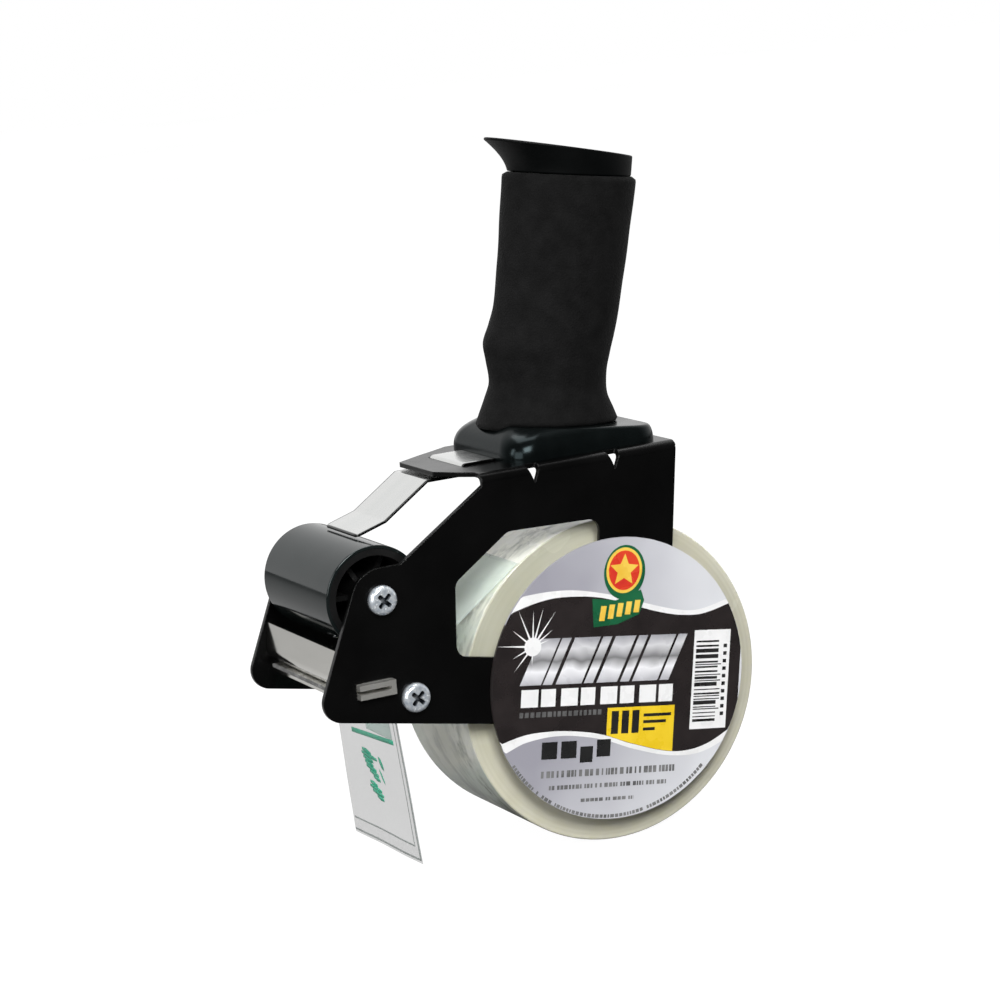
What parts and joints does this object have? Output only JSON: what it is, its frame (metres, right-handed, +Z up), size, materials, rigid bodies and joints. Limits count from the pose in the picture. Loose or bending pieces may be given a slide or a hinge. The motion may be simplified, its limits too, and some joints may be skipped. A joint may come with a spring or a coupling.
{
  "type": "tape dispenser",
  "caption": "Hand-held packing-tape dispenser: folded steel frame, foam pistol grip, guide roller, spring finger, serrated blade and a braked hub carrying a tape roll.",
  "frame": {"origin": "on the axis of the tape hub, midway between the two side plates", "axes": "+X from the guide roller to the back, +Y along the hub axis from the hub side plate to the open side, +Z up, square to the frame's top plate"},
  "size_m": [0.1563, 0.0642, 0.229],
  "materials": {
    "powder_black": "gloss black powder coat",
    "black_plastic": "moulded, satin",
    "foam": "closed-cell foam, matt",
    "zinc": "bright zinc plate",
    "spring_steel": "bright rolled",
    "plate_steel": "bright plated",
    "blade_steel": "ground",
    "roller_rubber": "smooth, glossy",
    "core_plastic": "moulded",
    "hub_plastic": "moulded",
    "bush_nylon": "natural nylon",
    "felt": "pressed felt",
    "knob_plastic": "moulded",
    "cardboard": "grey-brown wound board",
    "wound_film": "wound clear film",
    "clear_film": "clear film",
    "printed_card": "printed, glossy"
  },
  "bodies": {
    "frame_body": {"frame": "powder_black", "front_plate": "powder_black", "handle_base": "black_plastic", "foam_grip": "foam", "handle_cap": "black_plastic", "handle_screws": "zinc", "finger_root": "spring_steel", "finger_rivets": "zinc", "roller_axle": "zinc", "roller_washers": "bush_nylon", "roller_screws": "zinc", "guide_rod": "zinc", "rod_screws": "zinc", "blade_holder": "plate_steel", "cutting_blade": "blade_steel", "blade_rivets": "zinc", "hub_stud": "zinc", "friction_washer": "felt", "thrust_washer": "zinc", "brake_spring": "spring_steel", "tape_strip": "clear_film", "label_card": "printed_card"},
    "roll": {"hub_drum": "hub_plastic", "hub_bush": "bush_nylon", "tape_core": "cardboard", "tape_roll": "wound_film"},
    "roller": {"roller_sleeve": "roller_rubber", "roller_core": "core_plastic"},
    "finger": {"finger_leaf": "spring_steel"},
    "pressure": {"pressure_washer": "zinc"},
    "knob": {"tension_knob": "knob_plastic"}
  },
  "joints": [
    {"name": "roll_spin", "type": "hinge", "parent": "frame_body", "child": "roll", "pos_m": [0, 0, 0], "axis": [0, 1, 0], "continuous": true},
    {"name": "roller_spin", "type": "hinge", "parent": "frame_body", "child": "roller", "pos_m": [-0.0809, 0, 0.0418], "axis": [0, 1, 0], "continuous": true},
    {"name": "finger_flex", "type": "hinge", "parent": "frame_body", "child": "finger", "pos_m": [-0.0525, 0, 0.0728], "axis": [0, 1, 0], "range_deg": [0, 7], "stiffness_Nm_per_rad": 0.5, "springref_deg": -1.72},
    {"name": "pressure_slide", "type": "slide", "parent": "frame_body", "child": "pressure", "axis": [0, -1, 0], "range_m": [0, 0.0025], "deforming": ["brake_spring"]},
    {"name": "knob_spin", "type": "hinge", "parent": "pressure", "child": "knob", "pos_m": [0, 0.024, 0], "axis": [0, -1, 0], "range_deg": [0, 720]}
  ],
  "couplings": [
    {"joint": "pressure_slide", "follows": "knob_spin", "m_per_rad": 0.00019894}
  ]
}
